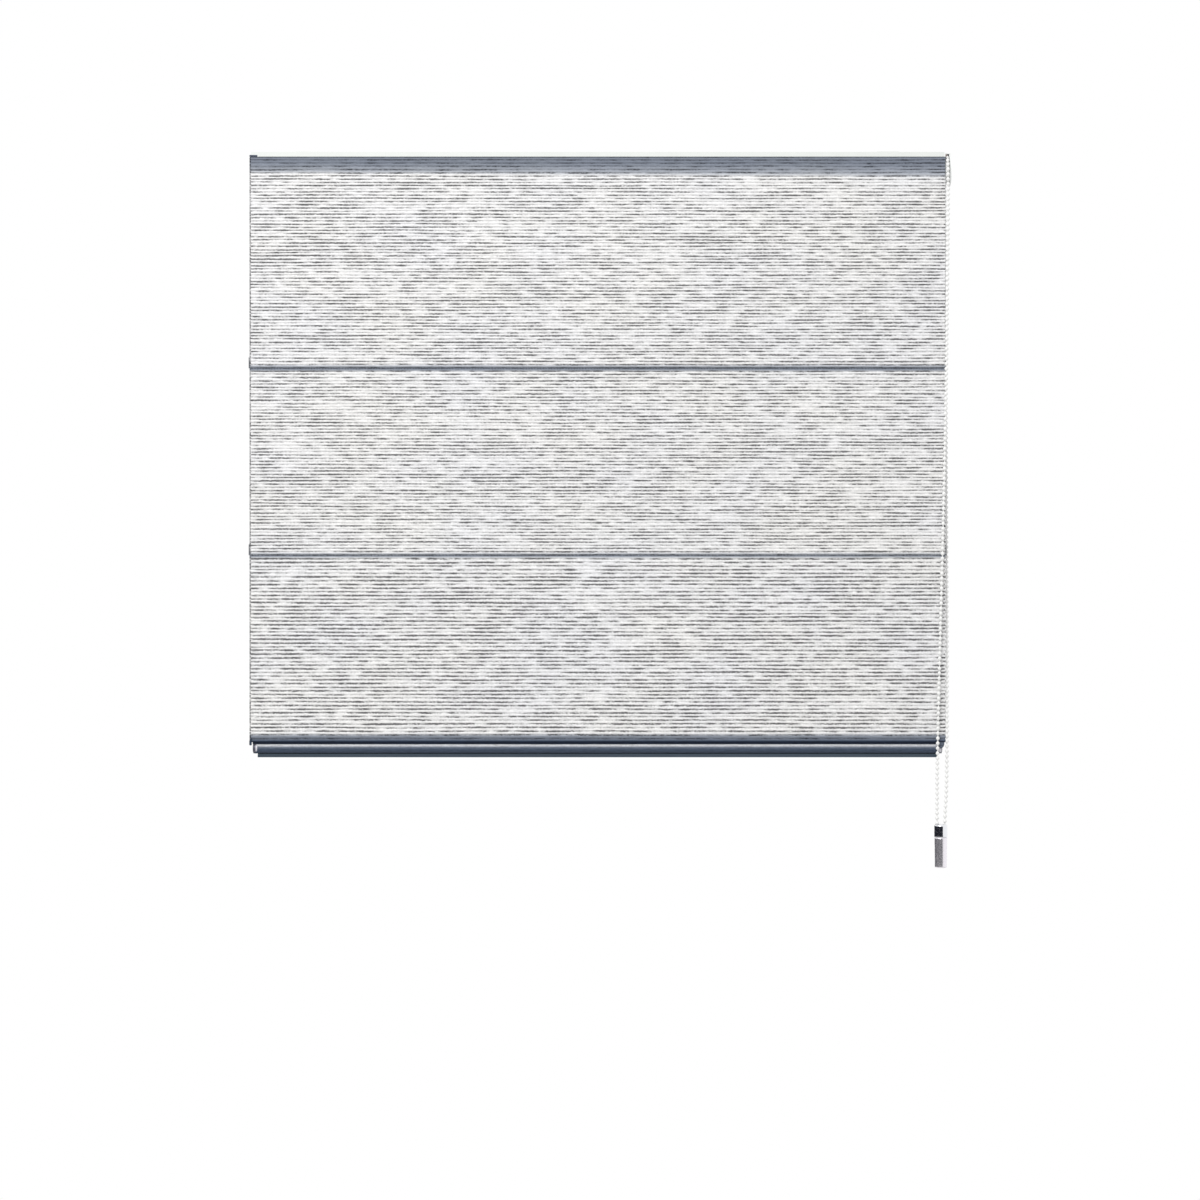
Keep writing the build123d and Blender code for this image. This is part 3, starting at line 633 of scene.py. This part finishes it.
left_corner = hem_corner(
    ((-0.6932, -0.4164, -0.4156), (-0.6950, -0.4180, -0.4156), (-0.6965, -0.4187, -0.4157),
     (-0.7003, -0.4187, -0.4157), (-0.7018, -0.4184, -0.4160)),
    -0.0378,
)
right_corner = hem_corner(
    ((-0.6979, 0.4088, 0.4172), (-0.7012, 0.4088, 0.4170), (-0.7036, 0.4088, 0.4160),
     (-0.7050, 0.4088, 0.4142), (-0.7057, 0.4088, 0.4118)),
    -0.0373,
)
flange_line = [(-0.03445, z) for z in np.linspace(hem_line + 0.0096, -0.7003, 12)]
flange, dark, points = folded_cloth(
    "hem_flange", flange_line, 0.0008, hem_x, 42, "bottom", patches=(left_corner, right_corner)
)
left_start, right_start = len(points) - 2 * len(left_corner[0]), len(points) - len(right_corner[0])
# Painted shade on the flange: dark below the last section, light above, and dark on the turned corners.
flange_shade = np.where(points[:, 2] < -0.6970, 2.4, 0.5)
flange_shade[left_start:right_start] = 1.7
flange_shade[right_start:] = 1.15
set_groove_and_painted_shade(flange, dark, flange_shade)


# Bottom bar: an aluminium extrusion in the hem, drawn dark slate, its foot showing below, with pale plugs
# glued on its ends. A dark moulded ring at each open end of the roll draws the shadow gap there as
# painted shade, and the cord anchors are moulded blocks behind the hem.
bar_metal = grained("bar_metal", (0.075, 0.105, 0.14), 0.4, 1300, 0.00002, 0.35, (0.05, 1, 1), 0.18)
finished(bar_metal, "bottom_bar")
# The left plug's outer end is darkened as painted shade of the gap at the roll's end.
plug_moulding = darkened_moulding(
    "plug_moulding", (0.72, 0.71, 0.76), 0.42, ((0.66, 0.65, 0.71), (0.73, 0.72, 0.77)), (0.085, 0.085, 0.12),
    (("X", -0.4112, -0.4118),),
)
finished(plug_moulding, "bar_plugs")
finished(moulding_finish("anchor_moulding", (0.78, 0.79, 0.78), 0.4), "cord_anchors")

# The dark rings draw the shadow gap at the roll's ends as painted shade.
ring_x = 0.4139
ring_half = (0.0059, 0.0053)
ring_steps = 40
ring_section = ((0.0, 0.0), (0.0, -0.0009), (0.0004, -0.0011), (0.0009, -0.0009), (0.0009, 0.0))
ring_points = [
    (
        sign * (ring_x + out),
        hem_middle[0] + (ring_half[0] + inward) * math.cos(2 * math.pi * step / ring_steps),
        hem_middle[1] + (ring_half[1] + inward) * math.sin(2 * math.pi * step / ring_steps),
    )
    for sign in (-1, 1)
    for step in range(ring_steps)
    for out, inward in ring_section
]
ring_faces = banded(ring_steps, len(ring_section), closed=True)
ring_faces += shifted(ring_faces, len(ring_points) // 2)
made("bar_end_shade_rings", ring_points, ring_faces, tip_moulding, "moulding", "bottom")


# Lift cords: braided polyester, from the drums down through grommets and eyelets to the anchors.
# A last turn of each stays wound on its drum.
cord_radius = 0.0006
cord_sides = 8
cord_rings = 560
cord_y = -0.02805
shaft_y = -0.0226113
shaft_z = -0.0092387
cord_foot = -0.6953
wrap_radius = 0.005438
wrap_pitch = 0.0009
wrap_steps = 48
braid = grained("cord_braid", (0.78, 0.78, 0.76), 0.75, 3000, 0.00012, spread=0.3)


def braided(path, name, body):
    """A cord along a path, its surface swelling where the strands cross."""
    path = np.array(path, float)
    ahead = np.gradient(path, axis=0)
    ahead /= np.linalg.norm(ahead, axis=1)[:, None]
    side = np.cross(ahead, (1.0, 0.0, 0.0))
    side /= np.linalg.norm(side, axis=1)[:, None]
    other = np.cross(ahead, side)
    points = []
    for row, middle in enumerate(path):
        for spot in range(cord_sides):
            angle = 2 * math.pi * spot / cord_sides
            swell = cord_radius * (0.9 + 0.1 * math.cos(4 * angle) * (1 if row % 2 else -1))
            points.append(middle + swell * (math.cos(angle) * side[row] + math.sin(angle) * other[row]))
    return made(name, points, tubed(len(path), cord_sides), braid, "cord", body)


for side_name, cord_x in (("left", -0.275), ("right", 0.275)):
    hanging = [(cord_x, cord_y, z) for z in np.linspace(shaft_z, cord_foot, cord_rings)]
    lift_cord = braided(hanging, f"lift_cord_{side_name}", "mounted")
    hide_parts("lift_cords")
    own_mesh(lift_cord)
    wound = []
    for step in range(wrap_steps + 1):
        angle = math.radians(180 - 360 * step / wrap_steps)
        depth, height = wrap_radius * math.cos(angle), wrap_radius * math.sin(angle)
        wound.append((cord_x - wrap_pitch * step / wrap_steps, shaft_y + depth, shaft_z + height))
    braided(wound, f"drum_wrap_{side_name}", "drive")


# Bead chain: plastic beads moulded on a thin polyester cord, over the wheel and down to the weight.
# It leaves the wheel towards the wall, runs over it, down in front and up again behind.
chain_points = (
    (0.42125, -0.00544, -0.00999), (0.42125, -0.005422, -0.004633), (0.42125, -0.010028, 0.003345),
    (0.42125, -0.018005, 0.007951), (0.42125, -0.027217, 0.007951), (0.42125, -0.035195, 0.003345),
    (0.42125, -0.039801, -0.004633), (0.42125, -0.0398, -0.01724), (0.42125, -0.0398, -0.06924),
    (0.418, -0.0398, -0.3461), (0.4083, -0.0398, -0.7001), (0.4079, -0.0398, -0.79424),
    (0.4079, -0.0398, -0.80814), (0.4079, -0.0398, -0.8112), (0.4171, -0.0398, -0.8112),
    (0.4171, -0.0398, -0.80814), (0.4171, -0.0398, -0.79424), (0.42125, -0.0368, -0.7261),
    (0.42125, -0.005942, -0.02148), (0.42125, -0.005592, -0.01349),
)
chain_radius = 0.00055
bead_radius = 0.00225
bead_pitch = 0.006
bead_sides = 14
weight_top = -0.79624
hidden_below = weight_top - 0.004
chain_line = bpy.data.curves.new("chain_cord_line", "CURVE")
chain_line.dimensions = "3D"
spline = chain_line.splines.new("NURBS")
spline.points.add(len(chain_points) - 1)
for point, place in zip(spline.points, chain_points):
    point.co = (*place, 1.0)
spline.order_u = 3
spline.use_endpoint_u = True
spline.resolution_u = 16
chain_line.resolution_u = 16
chain_cord = placed("chain_cord_line", chain_line)
traced = bpy.data.meshes.new_from_object(chain_cord)
chain_path = np.array([v.co for v in traced.vertices], float)
bpy.data.meshes.remove(traced)
chain_line.bevel_depth = chain_radius
chain_line.bevel_resolution = 2
chain_line.materials.append(grained("chain_thread", (0.86, 0.86, 0.84), 0.7, 3200, 0.0001, spread=0.2))
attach(chain_cord, "mounted")
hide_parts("chain_cord")

along = np.concatenate(([0], np.cumsum(np.linalg.norm(np.diff(chain_path, axis=0), axis=1))))
depths, heights = chain_path[:, 1], chain_path[:, 2]
leaves_wheel = (depths[:-1] < shaft_y) & (heights[:-1] >= shaft_z) & (heights[1:] < shaft_z)
in_front = np.nonzero(leaves_wheel)[0][0]
share = (heights[in_front] - shaft_z) / (heights[in_front] - heights[in_front + 1])
front_tangent = along[in_front] + share * (along[in_front + 1] - along[in_front])


def on_chain(far):
    """The point of the chain's cord so far along it."""
    return np.array([np.interp(far, along, chain_path[:, axis]) for axis in range(3)])


bead_neck = ((0.00062, 0.00262), (0.00085, 0.0025), (0.0009, 0.00212))
bead_profile = [(radius, -height) for radius, height in bead_neck]
bead_profile += [
    (bead_radius * math.cos(a), bead_radius * math.sin(a))
    for a in map(math.radians, (-64, -46, -28, -10, 10, 28, 46, 64))
]
bead_profile += bead_neck[::-1]
bead_points, bead_faces = [], []
first_bead = math.ceil((bead_pitch / 2 - front_tangent) / bead_pitch)
last_bead = int((along[-1] - bead_pitch / 2 - front_tangent) / bead_pitch)
for number in range(first_bead, last_bead + 1):
    far = front_tangent + number * bead_pitch
    middle = on_chain(far)
    if middle[2] < hidden_below:
        continue
    ahead = on_chain(far + 0.001) - middle
    ahead /= np.linalg.norm(ahead)
    side = np.cross(ahead, (1.0, 0.2, 0.0))
    side /= np.linalg.norm(side)
    new_points, new_faces = turned(bead_profile, bead_sides, middle, side, np.cross(ahead, side), ahead)
    bead_faces += shifted(new_faces, len(bead_points))
    bead_points += new_points
bead_plastic = grained("bead_plastic", (0.91, 0.91, 0.9), 0.3, 1500, 0.00002, spread=0.03)
beads = made("chain_bead_row", bead_points, bead_faces, bead_plastic, "bead", "mounted")
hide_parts("chain_beads")


# Chain weight: a chromed cap, its two bores holding the chain, and a satin steel body pressed on it.
# It keeps the loop hanging straight.
weight_x = 0.4125
weight_y = -0.0398
weight_sides = 48
strand_offset = 0.0046
bore_radius = 0.00255
bore_depth = 0.012


def bored(piece):
    """Cuts the two bores for the chain's strands down from the cap's top."""
    for sign in (-1, 1):
        bore_middle = (weight_x + sign * strand_offset, weight_y, weight_top)
        bore = turned([(bore_radius, -bore_depth), (bore_radius, 0.003)], 24, bore_middle)
        drill = placed("bore", solid_mesh("bore", *bore))
        cut = piece.modifiers.new("bore", "BOOLEAN")
        cut.operation = "DIFFERENCE"
        cut.solver = "EXACT"
        cut.object = drill
        bpy.context.view_layer.update()
        as_cut = piece.evaluated_get(bpy.context.evaluated_depsgraph_get())
        cut_mesh = bpy.data.meshes.new_from_object(as_cut)
        piece.modifiers.clear()
        piece.data = cut_mesh
        bpy.data.objects.remove(drill)


chrome = grained("chrome", (0.88, 0.89, 0.92), 0.11, 1200, 0.000004, 1.0, (1, 1, 0.2), 0.08)
shoulder_radius, shoulder_height = 0.0056, -0.0026
cap_profile = [
    (0.0075, -0.0157), (0.00785, -0.01545), (0.0079, -0.0148), (0.0079, -0.0050), (0.0079, shoulder_height),
]
cap_profile += [
    (shoulder_radius + 0.0023 * math.cos(a), shoulder_height + 0.0024 * math.sin(a))
    for a in map(math.radians, (15, 30, 45, 60, 75, 90))
]
cap = turned(cap_profile, weight_sides, (weight_x, weight_y, weight_top))
weight_cap = made("weight_cap_turned", *cap, chrome, "chrome", "mounted")
bored(weight_cap)
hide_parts("weight_cap")

satin = grained("satin_metal", (0.90, 0.87, 0.92), 0.24, 1400, 0.000005, 0.86, (1, 1, 0.05), 0.05)
body_profile = (
    (0.0052, -0.0522), (0.0066, -0.05215), (0.0071, -0.0517), (0.00715, -0.0508), (0.0074, -0.032),
    (0.0076, -0.0172), (0.0076, -0.01705), (0.0072, -0.0168), (0.0072, -0.01575),
)
weight_form = turned(body_profile, weight_sides, (weight_x, weight_y, weight_top))
weight_body = made("weight_body_turned", *weight_form, satin, "satin_metal", "mounted")
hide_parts("weight_body")


# Floor, light and camera: a plain pale floor well below the blind, a large soft lamp at the upper
# left, and an even white surround. A curved dark card, seen only in polished metal, gives it depth.
floor_z = -1.35
floor_corners = [(-2.5, -3, floor_z), (2.5, -3, floor_z), (2.5, 0.4, floor_z), (-2.5, 0.4, floor_z)]
floor_mesh = bpy.data.meshes.new("floor")
floor_mesh.from_pydata(floor_corners, [], [(0, 1, 2, 3)])
floor_finish, tree, shader, place = finish_of("floor_finish", (0.82, 0.82, 0.81), 0.8)
floor_tone = ranged(tree, noise_in(tree, place, 3, 3.0), 0.3, 0.7, 0.0, 1.0)
floor_colour = mixed(tree, floor_tone, (0.81, 0.81, 0.8), (0.84, 0.84, 0.83))
tree.links.new(floor_colour, shader.inputs["Base Color"])
floor_mesh.materials.append(floor_finish)
floor = placed("floor", floor_mesh)

card_reach = 1.3
card_foot, card_top = -1.2, -0.55
card_line = [
    (weight_x + card_reach * math.sin(a), weight_y - card_reach * math.cos(a))
    for a in map(math.radians, range(-165, 31, 15))
]
card_mesh = bpy.data.meshes.new("dark_card")
card_mesh.from_pydata(
    [(x, y, z) for x, y in card_line for z in (card_foot, card_top)],
    [],
    [(2 * i, 2 * i + 2, 2 * i + 3, 2 * i + 1) for i in range(len(card_line) - 1)],
)
card_mesh.materials.append(finish_of("card_finish", (0.012, 0.014, 0.024), 0.95)[0])
dark_card = placed("dark_card", card_mesh)
dark_card.visible_camera = False
dark_card.visible_diffuse = False
dark_card.visible_shadow = False

world = bpy.data.worlds.new("studio")
bpy.context.scene.world = world
world.use_nodes = True
tree = world.node_tree
surround = tree.nodes["Background"]
surround.inputs["Color"].default_value = (1, 1, 1, 1)
rays = tree.nodes.new("ShaderNodeLightPath")
seen = combined(tree, "ADD", rays.outputs["Is Camera Ray"], rays.outputs["Is Glossy Ray"], held=True)
seen = combined(tree, "ADD", seen, rays.outputs["Is Transmission Ray"], held=True)
tree.links.new(ranged(tree, seen, 0.0, 1.0, 0.66, 1.0), surround.inputs["Strength"])

lamp = bpy.data.lights.new("soft_lamp", "AREA")
lamp.shape = "SQUARE"
lamp.size = 2.0
lamp.energy = 75
lamp_object = placed("soft_lamp", lamp)
lamp_object.location = (-1.0, -2.5, 2.0)
aim = Vector((0, 0, -0.35)) - lamp_object.location
lamp_object.rotation_euler = aim.to_track_quat("-Z", "Y").to_euler()

camera = bpy.data.cameras.new("camera")
camera.sensor_width = 36
camera.lens = 83.9
camera_object = placed("camera", camera)
camera_object.location = (0.003, -3.4, -0.527)
camera_object.rotation_euler = (math.radians(90), 0, 0)
bpy.context.scene.camera = camera_object
bpy.context.scene.view_settings.view_transform = "Standard"
